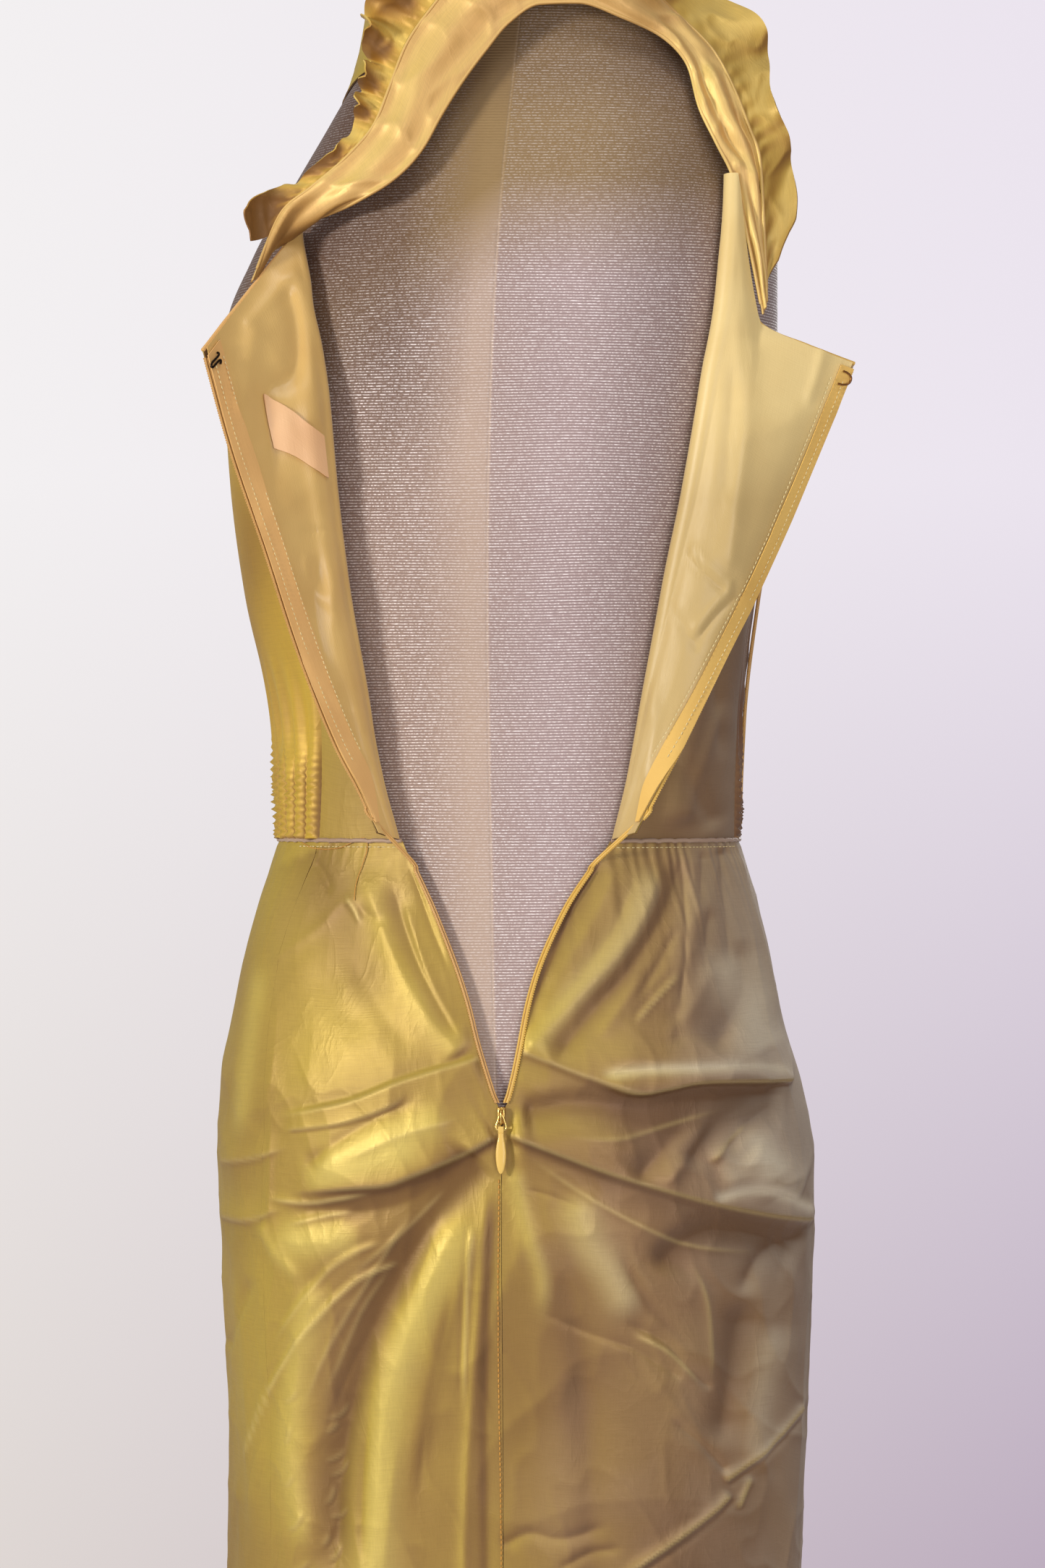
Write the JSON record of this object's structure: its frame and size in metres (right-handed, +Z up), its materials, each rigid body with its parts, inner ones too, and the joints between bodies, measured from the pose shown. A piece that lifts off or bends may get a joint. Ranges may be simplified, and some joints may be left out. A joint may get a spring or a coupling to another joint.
{
  "type": "silk taffeta dress on a limbless dress form",
  "caption": "Fitted sleeveless shot-silk taffeta dress on a stand, its back zip open to the hip, the backs folded outwards, with a ruffled neck band.",
  "frame": {"origin": "middle of the stand's underside, on the floor", "axes": "+Z up; the dress's open back faces -Y and its front +Y; +X is to the right of someone who looks at the back, which is the wearer's right"},
  "size_m": [0.3623, 0.36, 1.57],
  "materials": {
    "shot_silk_gold": "crisp shot taffeta, yellow gold, satin sheen",
    "shot_silk_bronze": "the same shot taffeta where it turns to tan and mauve-brown",
    "lining_silk": "smooth pale peach-yellow lining silk",
    "zip_tape": "matt woven tape",
    "ribbon": "satin stay ribbon, peach",
    "gold_metal": "polished pale gold plating",
    "dark_wire": "dark lacquered wire",
    "jersey": "ribbed taupe jersey with a faint glint",
    "pole_steel": "brushed",
    "base_iron": "cream enamel"
  },
  "bodies": {
    "dress": {"bodice_back_left": "shot_silk_gold", "bodice_back_right": "shot_silk_bronze", "bodice_front": "shot_silk_bronze", "form_torso": "jersey", "lining_left": "lining_silk", "lining_right": "lining_silk", "neck_band": "shot_silk_gold", "neck_ruffle": "shot_silk_gold", "side_panel_left": "shot_silk_gold", "side_panel_right": "shot_silk_bronze", "skirt_back_left": "shot_silk_gold", "skirt_back_right": "shot_silk_bronze", "skirt_front": "shot_silk_bronze", "stand_base": "base_iron", "stand_pole": "pole_steel", "stay_ribbon": "ribbon", "waist_piping": "shot_silk_bronze", "zip_eye": "dark_wire", "zip_hook": "dark_wire", "zip_slider": "gold_metal", "zip_tape_left": "zip_tape", "zip_tape_right": "zip_tape", "zip_tape_skirt_left": "zip_tape", "zip_tape_skirt_right": "zip_tape"},
    "pull": {"zip_pull": "gold_metal"}
  },
  "joints": [
    {"name": "pull_swing", "type": "hinge", "parent": "dress", "child": "pull", "pos_m": [0.00388, -0.12348, 0.90035], "axis": [-1, 0, 0], "range_deg": [0, 150]}
  ]
}
